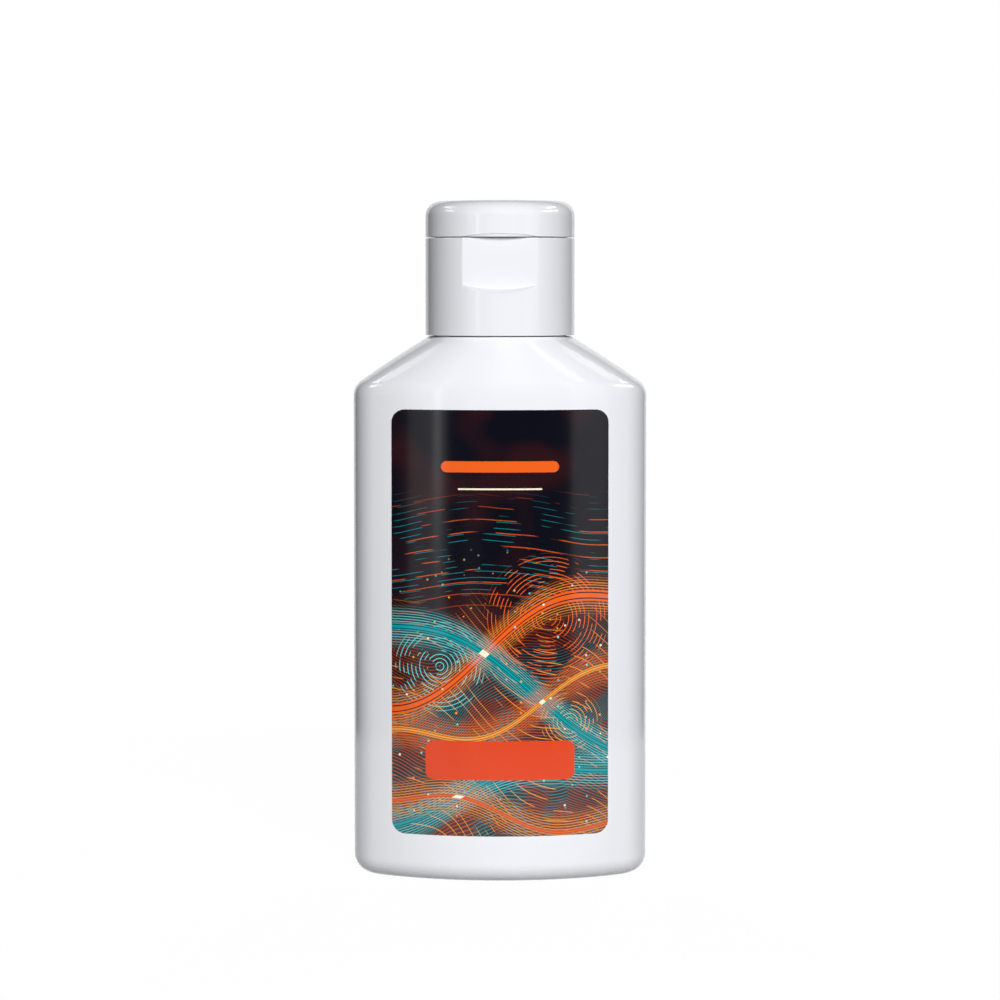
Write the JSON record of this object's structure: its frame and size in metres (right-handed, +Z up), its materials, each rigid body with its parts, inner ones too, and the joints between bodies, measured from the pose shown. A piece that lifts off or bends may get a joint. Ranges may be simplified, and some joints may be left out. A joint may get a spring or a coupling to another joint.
{
  "type": "flip-top lotion bottle",
  "caption": "Flat oval plastic lotion bottle with sloping shoulders, wrap labels front and back, and a round screw-on flip-top closure with a thumb recess.",
  "frame": {"origin": "centre of the base, on the surface the bottle stands on", "axes": "+Z up, +X along the width, -Y is the front with the thumb recess"},
  "size_m": [0.0454, 0.0252, 0.1043],
  "materials": {
    "bottle_white": "glossy opaque white, blown",
    "closure_white": "glossy opaque white, injection moulded",
    "label_print": "glossy printed film, dark ground with orange and teal",
    "label_blank": "glossy white film",
    "seal_foam": "fine closed-cell foam"
  },
  "bodies": {
    "bottle_body": {"bottle": "bottle_white", "front_label": "label_print", "back_label": "label_blank"},
    "seal_body": {"seal_ring": "seal_foam"},
    "closure_body": {"closure_base": "closure_white", "hinge_film_left": "closure_white", "hinge_film_right": "closure_white", "hinge_strap": "closure_white"},
    "lid_body": {"lid": "closure_white"}
  },
  "joints": [
    {"name": "closure_lift", "type": "slide", "parent": "bottle_body", "child": "seal_body", "axis": [0, 0, 1], "range_m": [0, 0.0127]},
    {"name": "closure_turn", "type": "hinge", "parent": "seal_body", "child": "closure_body", "pos_m": [0, 0, 0.09], "axis": [0, 0, 1], "range_deg": [0, 1440]},
    {"name": "lid_flip", "type": "hinge", "parent": "closure_body", "child": "lid_body", "pos_m": [0, 0.01074, 0.09863], "axis": [-1, 0, 0], "range_deg": [0, 140], "deforming": ["hinge_film_left", "hinge_film_right", "hinge_strap"]}
  ],
  "couplings": [
    {"joint": "closure_turn", "follows": "closure_lift", "rad_per_m": 1979}
  ]
}
